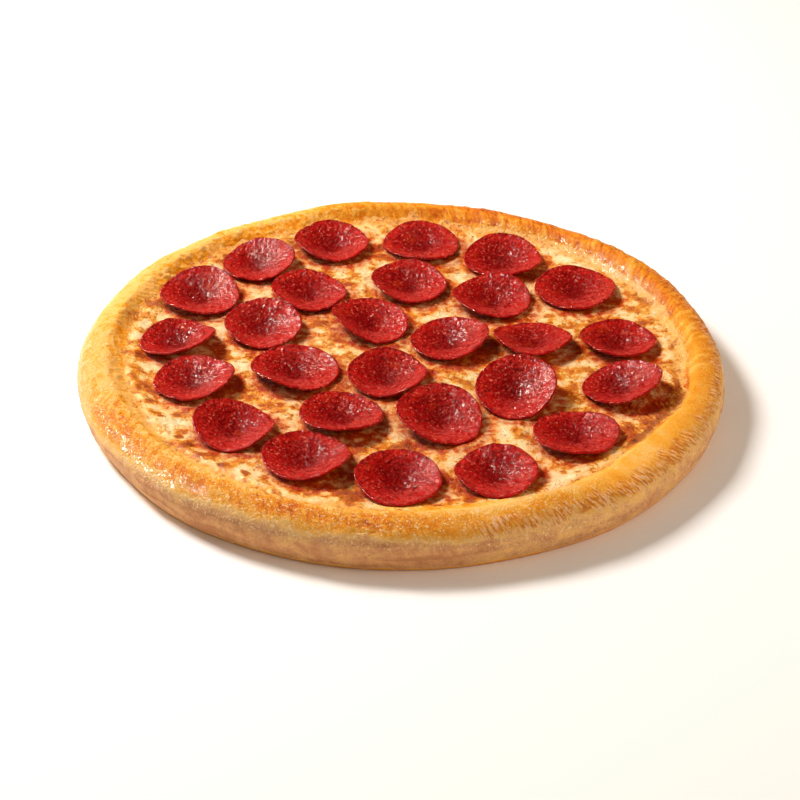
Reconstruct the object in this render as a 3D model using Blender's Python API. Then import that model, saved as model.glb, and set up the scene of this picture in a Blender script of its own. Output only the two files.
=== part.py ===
"""A whole pan pizza: a thick crust with a raised rim, a sheet of melted cheese in it,
and 27 cupped pepperoni slices in three rings on the cheese.

Lengths are in millimetres and angles in degrees until add_object turns them into metres.
Azimuths run anticlockwise from +X, seen from above, and -Y is the front of the pizza."""

import math

import bpy
import numpy as np

MM = 0.001

# Crust: the rim stands round a flat recess that holds the cheese
RIM_RADIUS = 150.0
BASE_INSET = 4.4
WAIST_HEIGHT = 12.0
CREST_HEIGHT = 23.6
SHOULDER_WIDTH = 13.0
FOOT_RADIUS = 125.8
FOOT_HEIGHT = 17.2
RECESS_FLOOR = 9.0
SIDE_STEPS = 3
SHOULDER_STEPS = 4
SLOPE_STEPS = 4
SLOPE_POWER = 0.8

# Unevenness round the pizza, as waves of (lobes, size in mm, phase in degrees)
OUTLINE_WAVES = ((2, 0.5, 40), (3, 0.5, 10), (5, 0.35, 200), (9, 0.25, 90), (14, 0.15, 15))
CREST_WAVES = ((1, 0.4, -40), (2, 0.8, -100), (7, 0.35, 60), (11, 0.3, 310), (17, 0.2, 20))
FOOT_WAVES = ((2, 0.8, 10), (5, 0.8, 230), (9, 0.7, 250), (13, 0.6, 30))
CHEESE_WAVES = ((3, 0.5, 20), (4, 0.3, 170), (7, 0.35, 75))

# The rim's inner side at the right of the front: a dent, and beside it a bulge into the pizza
DENT_AZIMUTH = -16.0
DENT_SPREAD = 7.0
DENT_PUSH = 7.0
DENT_DROP = 1.2
BULGE_AZIMUTH = -37.0
BULGE_SPREAD = 13.0
BULGE_CREST_PUSH = 4.5
BULGE_FOOT_PUSH = 1.5

# Cheese
CHEESE_HEIGHT = 16.2
CHEESE_EDGE_RISE = 1.0
CHEESE_EDGE_BAND = 0.12
CHEESE_RINGS = 20
ROUND_STEPS = 6 * CHEESE_RINGS
HEAP_SHARE = 0.5
HEAP_PLACE = 0.45
HEAP_SPREAD = 0.6
GAP = 0.3
DISH_GAP = 0.55

# Pepperoni, each as (distance, azimuth, radius, rise of the rim, tilt, fold, curl)
# A tilt is (degrees, azimuth of the raised side). A fold lifts two opposite sides and a curl
# three, each as (mm, azimuth of a raised side)
SLICE_THICKNESS = 1.8
SLICE_RINGS = 4
SLICE_SINK = 0.7
BOWL_POWER = 2.6
SLICES = (
    # Outer ring, anticlockwise from the right
    (103, 7, 17.9, 4.0, (4, -120), (0.5, 65), (0.6, -30)),
    (105, 36, 19.7, 3.0, (2, 60), (0.7, -43), (0.7, -20)),
    (103, 61, 19.2, 4.5, (4.5, 60), (1.4, -85), (0.4, -44)),
    (107, 85, 19.1, 2.5, (2, 140), (1.5, 85), (0.3, -20)),
    (110, 109, 18.6, 4.2, (4, 150), (0.4, 30), (1.0, -25)),
    (109, 131, 18.0, 3.8, (8.5, 37), (0.5, 55), (0.6, -24)),
    (110, 153, 19.0, 3.8, (7, 105), (1.6, 70), (0.2, -13)),
    (105, 176, 17.6, 4.4, (10, -32), (1.8, -50), (0.8, -8)),
    (98.5, -163.5, 18.2, 3.8, (6, 12), (0.8, -27), (0.6, -15)),
    (99, -138, 18.3, 3.7, (5.5, 155), (2.2, -24), (1.0, -29)),
    (99, -114, 19.2, 4.0, (3, -66), (1.3, -35), (0.7, -36)),
    (105, -90, 18.6, 3.6, (6.5, 120), (0.5, -17), (0.4, -59)),
    (107, -67, 18.2, 3.4, (3.5, 38), (0.6, 35), (1.1, -30)),
    (103, -41, 19.1, 3.1, (3.5, -79), (0.9, 25), (0.5, 24)),
    (105, -16, 17.7, 4.0, (15, -6), (0.5, 0), (0.5, -35)),
    # Middle ring
    (63, 11, 18.2, 3.4, (8.5, -97), (1.4, 0), (0.8, -38)),
    (67, 49, 18.8, 3.9, (5, 135), (1.6, 54), (0.6, -48)),
    (64, 87, 18.3, 4.0, (6.5, 145), (0.9, 36), (0.8, -38)),
    (71, 130, 18.1, 3.2, (6, 168), (0.3, 15), (0.8, -23)),
    (69, 162, 18.2, 3.5, (9, 89), (0.4, 25), (0.5, -26)),
    (52, -160, 19.8, 3.6, (5, -155), (1.4, 56), (0.5, 0)),
    (62, -115, 18.6, 4.0, (6, -107), (0.8, -69), (0.1, -54)),
    (60, -73, 19.1, 3.6, (12, 122), (1.3, 50), (0.1, -18)),
    (63, -34, 18.5, 3.7, (17, 68), (0.7, -4), (0.6, -26)),
    # Inner ring
    (25, 25, 18.4, 4.0, (7.5, 4), (0.8, 3), (0.5, -23)),
    (30, 120, 18.2, 3.9, (10, 168), (1.8, 29), (0.5, -22)),
    (22, -106, 18.6, 4.0, (2.5, 67), (1.4, -42), (1.0, -33)),
)

# Finishes as (colour, roughness)
CRUST_FINISH = ((0.72, 0.36, 0.10), 0.45)
CHEESE_FINISH = ((0.86, 0.55, 0.17), 0.40)
PEPPERONI_FINISH = ((0.36, 0.02, 0.015), 0.35)


def waves(azimuth, terms):
    """The sum of waves of (lobes, size, phase), at an azimuth or an array of them."""
    return sum(size * np.cos(np.radians(lobes * azimuth + phase)) for lobes, size, phase in terms)


def felt(azimuth, centre, spread):
    """How much of a local feature of the rim is felt at an azimuth, from 0 to 1."""
    off = (azimuth - centre + 180) % 360 - 180
    return np.exp(-((off / spread) ** 2))


def dent(azimuth):
    return felt(azimuth, DENT_AZIMUTH, DENT_SPREAD)


def bulge(azimuth):
    return felt(azimuth, BULGE_AZIMUTH, BULGE_SPREAD)


def outline_radius(azimuth):
    return RIM_RADIUS + waves(azimuth, OUTLINE_WAVES)


def crest_height(azimuth):
    return CREST_HEIGHT + waves(azimuth, CREST_WAVES) - DENT_DROP * dent(azimuth)


def crest_radius(azimuth):
    return outline_radius(azimuth) - SHOULDER_WIDTH - BULGE_CREST_PUSH * bulge(azimuth)


def foot_radius(azimuth):
    """The radius of the rim's inner foot, where the cheese begins."""
    level = FOOT_RADIUS + waves(azimuth, FOOT_WAVES)
    return level + DENT_PUSH * dent(azimuth) - BULGE_FOOT_PUSH * bulge(azimuth)


def outline_middle():
    """The middle of the outline's box, which becomes the origin."""
    azimuth = np.arange(ROUND_STEPS) * 360 / ROUND_STEPS
    x = outline_radius(azimuth) * np.cos(np.radians(azimuth))
    y = outline_radius(azimuth) * np.sin(np.radians(azimuth))
    return (x.max() + x.min()) / 2, (y.max() + y.min()) / 2


def rim_section(azimuth):
    """The crust's section as (radius, height), from the edge of its base to the recess floor."""
    outer = outline_radius(azimuth)
    crest_at = crest_radius(azimuth)
    crest = crest_height(azimuth)
    foot = foot_radius(azimuth)
    section = []
    for step in range(SIDE_STEPS):
        up = step / SIDE_STEPS
        section.append((outer - BASE_INSET * (1 - up) ** 2, WAIST_HEIGHT * up))
    for step in range(SHOULDER_STEPS + 1):
        turn = math.radians(90 * step / SHOULDER_STEPS)
        radius = crest_at + (outer - crest_at) * math.cos(turn)
        section.append((radius, WAIST_HEIGHT + (crest - WAIST_HEIGHT) * math.sin(turn)))
    for step in range(1, SLOPE_STEPS + 1):
        down = step / SLOPE_STEPS
        radius = crest_at + (foot - crest_at) * down
        fall = (1 - math.cos(math.pi * down**SLOPE_POWER)) / 2
        section.append((radius, crest + (FOOT_HEIGHT - crest) * fall))
    section.append((foot, RECESS_FLOOR))
    return section


def disc_points(rings):
    """A disc as rings of 6, 12, 18 ... points round a middle one: (share of radius, azimuth)."""
    points = [(0.0, 0.0)]
    for ring in range(1, rings + 1):
        points += [(ring / rings, 360 * step / (6 * ring)) for step in range(6 * ring)]
    return points


def disc_faces(rings):
    """Near-equal triangles, facing up, between the points of disc_points."""
    faces = []
    inner_start, inner_count = 0, 1
    for ring in range(1, rings + 1):
        outer_start, outer_count = inner_start + inner_count, 6 * ring
        for side in range(6):
            for step in range(ring):
                first = outer_start + side * ring + step
                second = outer_start + (side * ring + step + 1) % outer_count
                inner = inner_start + (side * (ring - 1) + step) % inner_count
                faces.append((inner, first, second))
                if step < ring - 1:
                    beyond = inner_start + (side * (ring - 1) + step + 1) % inner_count
                    faces.append((inner, second, beyond))
        inner_start, inner_count = outer_start, outer_count
    return faces


def band_faces(lower, upper, count):
    """Faces between two rings of points that start at the indices lower and upper."""
    faces = []
    for step in range(count):
        after = (step + 1) % count
        faces.append((lower + step, lower + after, upper + after, upper + step))
    return faces


def polar(radius, azimuth, height):
    turn = math.radians(azimuth)
    return radius * math.cos(turn), radius * math.sin(turn), height


def make_material(name, finish):
    colour, roughness = finish
    material = bpy.data.materials.new(name)
    material.use_nodes = True
    shader = material.node_tree.nodes["Principled BSDF"]
    shader.inputs["Base Color"].default_value = (*colour, 1.0)
    shader.inputs["Roughness"].default_value = roughness
    material.diffuse_color = (*colour, 1.0)
    return material


def add_object(name, points, faces, material, parent):
    """A named object from points in millimetres, shaded smooth."""
    mesh = bpy.data.meshes.new(name)
    mesh.from_pydata([[value * MM for value in point] for point in points], [], faces)
    mesh.materials.append(material)
    mesh.shade_smooth()
    made = bpy.data.objects.new(name, mesh)
    made.parent = parent
    bpy.context.scene.collection.objects.link(made)
    return made


def make_crust(material, parent):
    """The crust: its section carried round the pizza, closed by a flat base and a flat floor."""
    count = ROUND_STEPS
    azimuths = [360 * step / count for step in range(count)]
    sections = [rim_section(azimuth) for azimuth in azimuths]
    levels = len(sections[0])
    points = []
    for level in range(levels):
        for azimuth, section in zip(azimuths, sections):
            radius, height = section[level]
            points.append(polar(radius, azimuth, height))
    faces = []
    for level in range(levels - 1):
        faces += band_faces(level * count, (level + 1) * count, count)
    base, floor = len(points), len(points) + 1
    points += [(0, 0, 0), (0, 0, RECESS_FLOOR)]
    last = (levels - 1) * count
    for step in range(count):
        after = (step + 1) % count
        faces.append((base, after, step))
        faces.append((floor, last + step, last + after))
    return add_object("crust", points, faces, material, parent)


def slice_shape(row, share, azimuth):
    """The height of a slice's middle surface over its centre, at a share of its radius."""
    _, _, radius, rise, tilt, fold, curl = row
    bowl = rise * share**BOWL_POWER
    lean = radius * share * math.tan(math.radians(tilt[0])) * np.cos(np.radians(azimuth - tilt[1]))
    bend = fold[0] * share**2 * np.cos(np.radians(2 * (azimuth - fold[1])))
    lobes = curl[0] * share**3 * np.cos(np.radians(3 * (azimuth - curl[1])))
    return bowl + lean + bend + lobes


def slice_middle(row):
    turn = math.radians(row[1])
    return row[0] * math.cos(turn), row[0] * math.sin(turn)


def seat_height(row):
    """The height that puts the lowest point of a slice's underside just into the cheese."""
    points = np.array(disc_points(SLICE_RINGS))
    lowest = slice_shape(row, points[:, 0], points[:, 1]).min()
    level = cheese_level(*slice_middle(row))
    return level - SLICE_SINK + SLICE_THICKNESS / 2 - lowest


def cheese_level(x, y):
    """The height of the cheese where nothing lies on it."""
    azimuth = np.degrees(np.arctan2(y, x))
    share = np.hypot(x, y) / foot_radius(azimuth)
    edge = np.clip((share - 1 + CHEESE_EDGE_BAND) / CHEESE_EDGE_BAND, 0, 1)
    return CHEESE_HEIGHT + waves(azimuth, CHEESE_WAVES) * share**2 + CHEESE_EDGE_RISE * edge**2


def heaps(x, y):
    """How far the cheese swells under the raised side of each tilted slice."""
    swell = np.zeros(x.shape)
    for row in SLICES:
        middle = slice_middle(row)
        radius, (tilt, tilt_azimuth) = row[2], row[4]
        top_x = middle[0] + HEAP_PLACE * radius * math.cos(math.radians(tilt_azimuth))
        top_y = middle[1] + HEAP_PLACE * radius * math.sin(math.radians(tilt_azimuth))
        away = np.hypot(x - top_x, y - top_y) / (HEAP_SPREAD * radius)
        swell += HEAP_SHARE * radius * math.tan(math.radians(tilt)) * np.exp(-(away**2))
    return swell


def under_slices(x, y):
    """The highest that the cheese may reach at each point, below every slice over it."""
    ceiling = np.full(x.shape, np.inf)
    for row in SLICES:
        middle = slice_middle(row)
        away = np.hypot(x - middle[0], y - middle[1]) / row[2]
        azimuth = np.degrees(np.arctan2(y - middle[1], x - middle[0]))
        share = np.clip(away, 0, 1)
        dish = seat_height(row) + slice_shape(row, share, azimuth) - SLICE_THICKNESS / 2 - DISH_GAP
        near = away < 1.0 + 1.0 / SLICE_RINGS
        ceiling = np.where(near, np.minimum(ceiling, dish), ceiling)
    return ceiling


def make_cheese(material, parent):
    """The cheese: an even disc of triangles on top, dished under each slice, over a flat base."""
    discs = np.array(disc_points(CHEESE_RINGS))
    azimuth = discs[:, 1]
    radius = discs[:, 0] * (foot_radius(azimuth) - GAP)
    x = radius * np.cos(np.radians(azimuth))
    y = radius * np.sin(np.radians(azimuth))
    z = np.minimum(cheese_level(x, y) + heaps(x, y), under_slices(x, y))
    points = list(zip(x, y, z))
    faces = disc_faces(CHEESE_RINGS)
    count = ROUND_STEPS
    rim = len(points) - count
    below = len(points)
    points += [(x[rim + step], y[rim + step], RECESS_FLOOR + GAP) for step in range(count)]
    faces += band_faces(below, rim, count)
    middle = len(points)
    points.append((0, 0, RECESS_FLOOR + GAP))
    faces += [(middle, below + (step + 1) % count, below + step) for step in range(count)]
    return add_object("cheese", points, faces, material, parent)


def make_slice(number, row, material, parent):
    """A pepperoni slice: a cupped, tilted and folded disc, given its thickness by Solidify."""
    middle = slice_middle(row)
    base = seat_height(row)
    points = []
    for share, azimuth in disc_points(SLICE_RINGS):
        x, y, z = polar(share * row[2], azimuth, slice_shape(row, share, azimuth))
        points.append((middle[0] + x, middle[1] + y, base + z))
    made = add_object(f"pepperoni_{number:02d}", points, disc_faces(SLICE_RINGS), material, parent)
    solidify = made.modifiers.new("thickness", "SOLIDIFY")
    solidify.thickness = SLICE_THICKNESS * MM
    solidify.offset = 0
    return made


def main():
    for old in list(bpy.data.objects):
        bpy.data.objects.remove(old)
    pizza = bpy.data.objects.new("pizza", None)
    middle = outline_middle()
    pizza.location = (-middle[0] * MM, -middle[1] * MM, 0)
    bpy.context.scene.collection.objects.link(pizza)
    make_crust(make_material("crust", CRUST_FINISH), pizza)
    make_cheese(make_material("cheese", CHEESE_FINISH), pizza)
    pepperoni = make_material("pepperoni", PEPPERONI_FINISH)
    for number, row in enumerate(SLICES, start=1):
        make_slice(number, row, pepperoni, pizza)


main()
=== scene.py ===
"""The looks of a whole pan pizza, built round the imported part: the crust's baked skin, the
browned cheese and 27 cupped pepperoni slices, on a pale floor in soft light.

Lengths are in millimetres, which add_piece turns into metres, and angles are in degrees.
Azimuths run anticlockwise from +X, seen from above, and -Y is the front of the pizza."""

import itertools
import math

import bpy
import numpy as np
from mathutils import Matrix, Vector

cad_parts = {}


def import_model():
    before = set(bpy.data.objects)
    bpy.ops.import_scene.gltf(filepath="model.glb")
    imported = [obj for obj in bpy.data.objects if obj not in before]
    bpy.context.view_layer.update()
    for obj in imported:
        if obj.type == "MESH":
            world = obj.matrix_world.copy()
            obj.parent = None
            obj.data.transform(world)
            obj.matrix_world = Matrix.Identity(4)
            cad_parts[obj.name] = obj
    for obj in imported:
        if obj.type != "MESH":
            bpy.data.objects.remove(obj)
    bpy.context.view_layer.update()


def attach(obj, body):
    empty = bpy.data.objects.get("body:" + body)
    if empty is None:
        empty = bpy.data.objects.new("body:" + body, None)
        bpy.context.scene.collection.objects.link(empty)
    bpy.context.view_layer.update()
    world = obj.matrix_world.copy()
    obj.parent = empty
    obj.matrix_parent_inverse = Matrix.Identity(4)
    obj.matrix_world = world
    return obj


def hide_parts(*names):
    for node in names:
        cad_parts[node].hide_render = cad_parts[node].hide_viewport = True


MM = 0.001

# The part's own sizes, repeated
RIM_RADIUS = 150.0
BASE_INSET = 4.4
WAIST_HEIGHT = 12.0
CREST_HEIGHT = 23.6
SHOULDER_WIDTH = 13.0
FOOT_RADIUS = 125.8
FOOT_HEIGHT = 17.2
RECESS_FLOOR = 9.0
SLOPE_POWER = 0.8
OUTLINE_WAVES = ((2, 0.5, 40), (3, 0.5, 10), (5, 0.35, 200), (9, 0.25, 90), (14, 0.15, 15))
CREST_WAVES = ((1, 0.4, -40), (2, 0.8, -100), (7, 0.35, 60), (11, 0.3, 310), (17, 0.2, 20))
FOOT_WAVES = ((2, 0.8, 10), (5, 0.8, 230), (9, 0.7, 250), (13, 0.6, 30))
CHEESE_WAVES = ((3, 0.5, 20), (4, 0.3, 170), (7, 0.35, 75))
DENT_AZIMUTH = -16.0
DENT_SPREAD = 7.0
DENT_PUSH = 7.0
DENT_DROP = 1.2
BULGE_AZIMUTH = -37.0
BULGE_SPREAD = 13.0
BULGE_CREST_PUSH = 4.5
BULGE_FOOT_PUSH = 1.5
CHEESE_HEIGHT = 16.2
CHEESE_EDGE_RISE = 1.0
CHEESE_EDGE_BAND = 0.12
HEAP_SHARE = 0.5
HEAP_PLACE = 0.45
HEAP_SPREAD = 0.6
GAP = 0.3
SLICE_THICKNESS = 1.8
SLICE_SINK = 0.7
BOWL_POWER = 2.6

# Pepperoni, each as (distance, azimuth, radius, rise of the rim, tilt, fold, curl)
# A tilt is (degrees, azimuth of the raised side). A fold lifts two opposite sides and a curl
# three, each as (mm, azimuth of a raised side)
SLICES = (
    # Outer ring, anticlockwise from the right
    (103, 7, 17.9, 4.0, (4, -120), (0.5, 65), (0.6, -30)),
    (105, 36, 19.7, 3.0, (2, 60), (0.7, -43), (0.7, -20)),
    (103, 61, 19.2, 4.5, (4.5, 60), (1.4, -85), (0.4, -44)),
    (107, 85, 19.1, 2.5, (2, 140), (1.5, 85), (0.3, -20)),
    (110, 109, 18.6, 4.2, (4, 150), (0.4, 30), (1.0, -25)),
    (109, 131, 18.0, 3.8, (8.5, 37), (0.5, 55), (0.6, -24)),
    (110, 153, 19.0, 3.8, (7, 105), (1.6, 70), (0.2, -13)),
    (105, 176, 17.6, 4.4, (10, -32), (1.8, -50), (0.8, -8)),
    (98.5, -163.5, 18.2, 3.8, (6, 12), (0.8, -27), (0.6, -15)),
    (99, -138, 18.3, 3.7, (5.5, 155), (2.2, -24), (1.0, -29)),
    (99, -114, 19.2, 4.0, (3, -66), (1.3, -35), (0.7, -36)),
    (105, -90, 18.6, 3.6, (6.5, 120), (0.5, -17), (0.4, -59)),
    (107, -67, 18.2, 3.4, (3.5, 38), (0.6, 35), (1.1, -30)),
    (103, -41, 19.1, 3.1, (3.5, -79), (0.9, 25), (0.5, 24)),
    (105, -16, 17.7, 4.0, (15, -6), (0.5, 0), (0.5, -35)),
    # Middle ring
    (63, 11, 18.2, 3.4, (8.5, -97), (1.4, 0), (0.8, -38)),
    (67, 49, 18.8, 3.9, (5, 135), (1.6, 54), (0.6, -48)),
    (64, 87, 18.3, 4.0, (6.5, 145), (0.9, 36), (0.8, -38)),
    (71, 130, 18.1, 3.2, (6, 168), (0.3, 15), (0.8, -23)),
    (69, 162, 18.2, 3.5, (9, 89), (0.4, 25), (0.5, -26)),
    (52, -160, 19.8, 3.6, (5, -155), (1.4, 56), (0.5, 0)),
    (62, -115, 18.6, 4.0, (6, -107), (0.8, -69), (0.1, -54)),
    (60, -73, 19.1, 3.6, (12, 122), (1.3, 50), (0.1, -18)),
    (63, -34, 18.5, 3.7, (17, 68), (0.7, -4), (0.6, -26)),
    # Inner ring
    (25, 25, 18.4, 4.0, (7.5, 4), (0.8, 3), (0.5, -23)),
    (30, 120, 18.2, 3.9, (10, 168), (1.8, 29), (0.5, -22)),
    (22, -106, 18.6, 4.0, (2.5, 67), (1.4, -42), (1.0, -33)),
)

# Fineness of the meshes
CRUST_STEPS = 1400
SIDE_STEPS = 14
SHOULDER_STEPS = 26
SLOPE_STEPS = 22
CHEESE_RINGS = 160
SLICE_RINGS = 35
EDGE_STEPS = 6

# Creases in the crust's skin, each as (from azimuth, to azimuth, from place, to place, length
# round the rim, length over it, slant, depth). A place is 0 at the edge of the base, 1 at the
# waist, 2 on the crest and 3 at the inner foot
CREASES = (
    # Flow lines over the crest and the inner slope, at the left and the left of the front
    (140, 262, 1.75, 2.95, 1.9, 6.0, 0.9, 0.42),
    (120, 270, 1.5, 2.9, 5.0, 3.0, -0.3, 0.30),
    # Creases across the crest, at the right of the back
    (-2, 84, 1.3, 2.4, 4.4, 15.0, 0.7, 0.50),
    (5, 118, 1.1, 2.4, 1.7, 7.0, -0.4, 0.16),
    # Strokes at the left of the back
    (100, 150, 1.6, 2.9, 5.0, 2.0, 0.5, 0.40),
    # Faint lines along the side
    (-180, 180, 0.25, 1.1, 42.0, 3.0, 0.0, 0.5),
    # The front's skin
    (-130, -60, 1.7, 2.7, 2.2, 6.0, 0.6, 0.24),
)
# Rows of even folds, each as (from azimuth, to azimuth, from place, to place, spacing, slant,
# depth)
PLEATS = (
    # On the shoulder, at the right of the front
    (-74, 8, 1.34, 1.60, 2.2, 0.45, 0.24),
    # In the dent
    (-36, -6, 2.3, 3.2, 2.1, -0.3, 0.26),
)
# Ribs in the cheese's edge inside the dent, as (from azimuth, to azimuth, from radius, to
# radius, spacing, height)
RIBS = (-34, -9, 112.0, 138.0, 2.1, 0.32)
LUMPS = ((34.0, 0.50), (13.0, 0.34), (5.0, 0.20), (2.4, 0.10))
# How far the streaks in the crust's skin slant round it, as a share of the way over the rim
FLOW_SLANT = 0.5

# Browning of the crust: 0 is pale dough, 0.5 golden and 1 brown. The skin of the top begins at
# the place SKIN_EDGE, and BACK_EDGE_DROP lower at the back. A stretch of the rim is (from
# azimuth, to azimuth, softness)
SIDE_BAKE = 0.07
TOP_BAKE = 0.50
BASE_BAKE = 0.8
RECESS_BAKE = 0.2
LEAST_TOP_BAKE = 0.27
SKIN_EDGE = 1.40
BACK_EDGE_DROP = 0.26
BACK = (20, 205, 25)
# The stretch of the side that is painted lighter, as painted light
PAINTED_LIGHT_SIDE = (-72, 10, 15)

# Areas of the crust's skin, each as (from azimuth, to azimuth, softness, from place, to place,
# softness), after the browning or graininess that some of them add. Some of the browning is
# painted shade, and some painted light
BROWNING_AND_PAINTED_LIGHT_AREAS = (
    # The crest at the back right, and the front's shoulder
    (0.10, (-8, 85, 15, 1.3, 2.4, 0.15)),
    (0.08, (-150, -80, 15, 1.4, 1.8, 0.2)),
    # The pale crest at the back left, and the pale shoulder under it
    (-0.16, (125, 185, 20, 0.0, 2.2, 0.3)),
    (-0.08, (120, 215, 20, 0.9, 2.0, 0.3)),
    # The pale inner slope at the back right, and the darker one in the dent, which is painted shade
    (-0.34, (-3, 68, 8, 2.55, 3.0, 0.15)),
    (0.34, (-36, -8, 5, 2.45, 3.1, 0.15)),
    # The inner slope at the left, paler as painted light where it faces away from the light, and
    # the inner slope at the front
    (-0.12, (150, 240, 15, 2.4, 3.1, 0.2)),
    (-0.12, (-165, -60, 20, 2.0, 3.0, 0.25)),
    # The smooth ridge at the right of the front
    (-0.10, (-78, 4, 15, 1.6, 2.5, 0.2)),
)
GRAINY_AREAS = (
    # The shoulder at the front and at the right
    (0.65, (-178, -60, 15, 1.2, 1.95, 0.25)),
    (0.3, (-20, 70, 15, 1.0, 1.9, 0.2)),
    # The inner slope at the back right, and the side at the right of the front
    (0.65, (-3, 68, 10, 2.4, 3.0, 0.2)),
    (0.4, (-72, 10, 15, 0.3, 1.4, 0.2)),
)
LEAST_GRAIN = 0.35
BASE_GRAIN = 0.3
SMOOTH_RIDGE = (-78, 4, 12, 1.2, 2.6, 0.12)
GLAZED_SHOULDER = (175, 275, 20, 1.25, 1.52, 0.12)
GLAZED_SLOPE = (8, 100, 15, 2.35, 2.8, 0.12)
LEAST_GLAZE = 0.04
SLOPE_GLAZE = 0.8
# Where the pleats get painted highlights on pale tips and painted shade in the gaps between them
PLEAT_HIGHLIGHTS_AND_SHADE = (-74, 26, 8, 1.32, 1.62, 0.08)

# Cheese
CHEESE_LUMPS = ((17.0, 0.5), (7.0, 0.45), (3.2, 0.28), (1.8, 0.12))
CHEESE_REACH = 4.6
CHEESE_REACH_WAVE = 3.4
CHEESE_REACH_LEAST = 2.4
CHEESE_MARGIN = 9.5
DISH_GAP = 0.15
DISH_WALL = 1.5
# How the cheese thins out up the rim, and how steeply it dives into the crust beyond its reach
THIN_POWER = 1.3
DIVE = 1.5
FILLET = 0.6
LEFT_FILLET = 0.8
# Fat stains round the slices, shifted toward the front right and darkened there as painted shadow
# under the slices
STAIN_AND_SHADOW_REACH = 5.5
STAIN_AND_SHADOW_SHIFT = (2.8, -2.2)
SHEET_TAPER = 0.93
# The stretch of the rim whose dent has painted shade in the cheese
SHADED_DENT = (-36, -8, 5)

# Browned and pale places in the cheese, as (x, y, half width, browning). Pale is below zero
PATCHES = (
    (-12, 106, 5.0, 1.0), (-24, -65, 4.5, 0.75), (44, 10, 5.0, 0.7), (-76, -32, 11.0, 0.6),
    (123, 7, 4.0, 0.8), (-120, 42, 4.0, 0.6), (111, 54, 7.0, 0.35), (-21, -110, 10.0, 0.45),
    (-40, -105, 9.0, 0.4), (79, -33, 7.0, 0.45), (94, 11, 6.0, 0.4), (30, -114, 5.0, 0.5),
    (-34, 16, 8.0, 0.3), (-74, 6, 5.0, 0.3), (99, -45, 6.0, 0.3), (90, 20, 5.0, 0.3),
    (-95, 10, 5.0, 0.4), (73, -16, 7.0, 0.4), (-66, -38, 5.0, 0.4), (24, 76, 6.0, 0.25),
    (-75, -75, 8.0, -0.35), (69, -102, 9.0, -0.45), (11, 34, 6.0, -0.5), (-54, 89, 6.0, -0.5),
    (44, -59, 9.0, -0.35), (-49, -112, 6.0, -0.5), (-99, 1, 4.0, -0.4), (-102, -60, 6.0, -0.3),
    (10, -88, 7.0, -0.2), (20, 55, 6.0, -0.3), (50, -96, 7.0, -0.3), (-20, 88, 8.0, -0.3),
)
# Small browned blisters, as (x, y, radius), and how high they rise for their radius
BLISTERS = (
    (-97, -74, 2.2), (-92, -80, 1.8), (-77, -97, 1.5), (-66, -102, 2.6), (71, -96, 1.8),
    (13, -14, 1.8), (-107, -57, 1.6), (-116, 8, 1.5), (56, -92, 1.4), (88, -74, 1.5),
)
BLISTER_RISE = 0.3

# The slices' lumps, wells and edges, the painted shade on the back wall of their cups and the
# painted sheen on their front right
SLICE_LUMPS = ((7.0, 0.34), (3.2, 0.20), (1.5, 0.14))
WELL_DEPTH = 2.2
WELL_SPREAD = 0.5
EDGE_TAPER = 0.4
EDGE_HALF = SLICE_THICKNESS / 2 * (1 - EDGE_TAPER)
SHADE_AZIMUTH = 110.0
SHADE_SPREAD = 75.0
SHADE_SHARE = 0.7
SHEEN_AZIMUTH = -50.0
SHEEN_SPREAD = 85.0
SHEEN_SHARE = 0.6
SLICE_RIM_WAVE = 0.42
SLICE_OUTLINE_WAVE = 0.014
# Corners of each slice's outline, in the order of SLICES, as ((azimuth, stretch), ...). Away from
# a corner the outline draws in by CORNER_DRAW of its stretch
CORNERS = (
    ((5, 0.05), (150, 0.03)), ((20, 0.04), (200, 0.03)), ((-5, 0.06), (120, 0.03)),
    ((185, 0.04), (30, 0.04)), ((170, 0.05), (-20, 0.03)), ((20, 0.04), (230, 0.04)),
    ((190, 0.06), (-30, 0.03)), ((180, 0.06), (20, 0.02)), ((15, 0.06), (200, 0.04)),
    ((0, 0.02), (130, 0.04)), ((170, 0.04), (-30, 0.04)), ((185, 0.06), (60, 0.04)),
    ((165, 0.03), (-60, 0.03)), ((20, 0.04), (220, 0.04)), ((10, 0.04), (190, 0.05)),
    ((-10, 0.05), (170, 0.04)), ((180, 0.06), (40, 0.04)), ((200, 0.04), (-10, 0.04)),
    ((0, 0.06), (140, 0.03)), ((170, 0.04), (-20, 0.05)), ((0, 0.06), (180, 0.05)),
    ((-25, 0.05), (205, 0.05)), ((180, 0.04), (-40, 0.04)), ((30, 0.06), (-60, 0.04)),
    ((15, 0.05), (215, 0.05)), ((150, 0.05), (-20, 0.04)), ((80, 0.04), (-50, 0.05)),
)
CORNER_SPREAD = 26.0
CORNER_STRETCH = 0.75
CORNER_DRAW = 0.05

# Camera, as the photo was taken
CAMERA_ELEVATION = 32.57
CAMERA_ROLL = 0.88
CAMERA_DISTANCE = 1032.0
CAMERA_AIM = (-0.3, -13.3, 0.0)
CAMERA_LENS = 99.46
SENSOR_WIDTH = 36.0

# Lights, each as (name, azimuth, elevation, distance, size, power, colour, whether it glints)
LIGHTS = (
    ("key", 147, 46, 1300, (360, 360), 23.0, (1.0, 0.97, 0.93), False),
    ("fill", -22, 28, 1500, (900, 700), 8.0, (1.0, 0.82, 0.64), False),
    ("glint", 152, 44, 1300, (300, 300), 25.0, (1.0, 0.94, 0.82), True),
    ("low glint", 178, 25, 1300, (200, 200), 22.0, (1.0, 0.94, 0.78), True),
)
SURROUNDING_COLOUR = (1.0, 0.84, 0.70, 1.0)
SURROUNDING_STRENGTH = 0.3
FLOOR_COLOUR = (0.92, 0.92, 0.92, 1.0)
FLOOR_HALF = 3000.0
FLOOR_DROP = 0.2

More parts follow.
